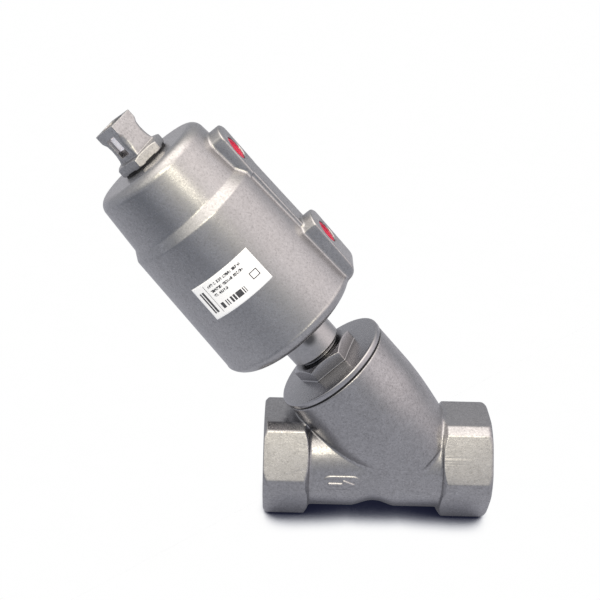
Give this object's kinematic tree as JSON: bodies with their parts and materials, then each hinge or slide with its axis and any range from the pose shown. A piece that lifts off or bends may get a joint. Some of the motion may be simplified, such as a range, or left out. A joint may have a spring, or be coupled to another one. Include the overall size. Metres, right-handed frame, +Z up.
{
  "type": "pneumatic actuated valve",
  "caption": "Y-pattern angle-seat valve with threaded hexagon ends, screwed bonnet and a spring-closed stainless piston actuator leaning back over the inlet.",
  "frame": {"origin": "centre of the inlet end face, on the pipe axis", "axes": "+X along the pipe in the flow direction, +Z up, the branch and actuator lie in the XZ plane and lean towards -X, -Y is the front with the nameplate"},
  "size_m": [0.2058, 0.0812, 0.2205],
  "materials": {
    "cast_stainless": "bead-blasted cast stainless steel, fine grain",
    "machined_stainless": "machined and lightly blasted stainless steel",
    "ground_stainless": "ground stem surface",
    "spring_steel": "drawn wire",
    "piston_alloy": "machined",
    "ptfe": "waxy",
    "bronze": "machined bearing bronze",
    "black_rubber": "matt",
    "white_plastic": "satin",
    "red_plastic": "soft moulded polythene",
    "label_film": "white printed film"
  },
  "bodies": {
    "valve": {"valve_body": "cast_stainless", "body_gasket": "black_rubber", "bonnet": "machined_stainless", "stem_guide_bush": "bronze", "packing_spring": "spring_steel", "packing_washer": "machined_stainless", "packing_rings": "ptfe", "gland_nut": "bronze", "neck_oring": "black_rubber"},
    "actuator": {"actuator_housing": "cast_stainless", "base_plate": "machined_stainless", "base_oring": "black_rubber", "base_retaining_ring": "spring_steel", "rod_seal": "black_rubber", "rod_bush": "bronze", "outer_spring": "spring_steel", "inner_spring": "spring_steel", "indicator_housing": "machined_stainless", "indicator_seal": "black_rubber", "nameplate": "label_film"},
    "stem_assembly": {"stem": "ground_stainless", "piston": "piston_alloy", "piston_seal": "black_rubber", "piston_guide_ring": "ptfe", "piston_oring": "black_rubber", "piston_washer": "machined_stainless", "piston_nut": "machined_stainless", "indicator_rod": "ground_stainless", "indicator_tip": "white_plastic"},
    "plug_assembly": {"plug": "machined_stainless", "seat_seal": "ptfe", "seal_retainer": "machined_stainless", "retainer_nut": "machined_stainless", "plug_pins": "spring_steel"},
    "lower_dust_plug": {"port_plug_lower": "red_plastic"},
    "upper_dust_plug": {"port_plug_upper": "red_plastic"}
  },
  "joints": [
    {"name": "actuator_swivel", "type": "hinge", "parent": "valve", "child": "actuator", "pos_m": [0.085, 0, 0], "axis": [-0.6561, 0, 0.7547], "continuous": true},
    {"name": "stem_lift", "type": "slide", "parent": "valve", "child": "stem_assembly", "axis": [-0.6561, 0, 0.7547], "range_m": [0, 0.012], "stiffness_N_per_m": 11000, "springref_m": -0.02, "deforming": ["outer_spring", "inner_spring"]},
    {"name": "plug_swivel", "type": "hinge", "parent": "stem_assembly", "child": "plug_assembly", "pos_m": [0.085, 0, 0], "axis": [-0.6561, 0, 0.7547], "continuous": true},
    {"name": "lower_dust_plug_pull", "type": "slide", "parent": "actuator", "child": "lower_dust_plug", "axis": [0.7547, 0, 0.6561], "range_m": [0, 0.009]},
    {"name": "upper_dust_plug_pull", "type": "slide", "parent": "actuator", "child": "upper_dust_plug", "axis": [0.7547, 0, 0.6561], "range_m": [0, 0.009]}
  ]
}
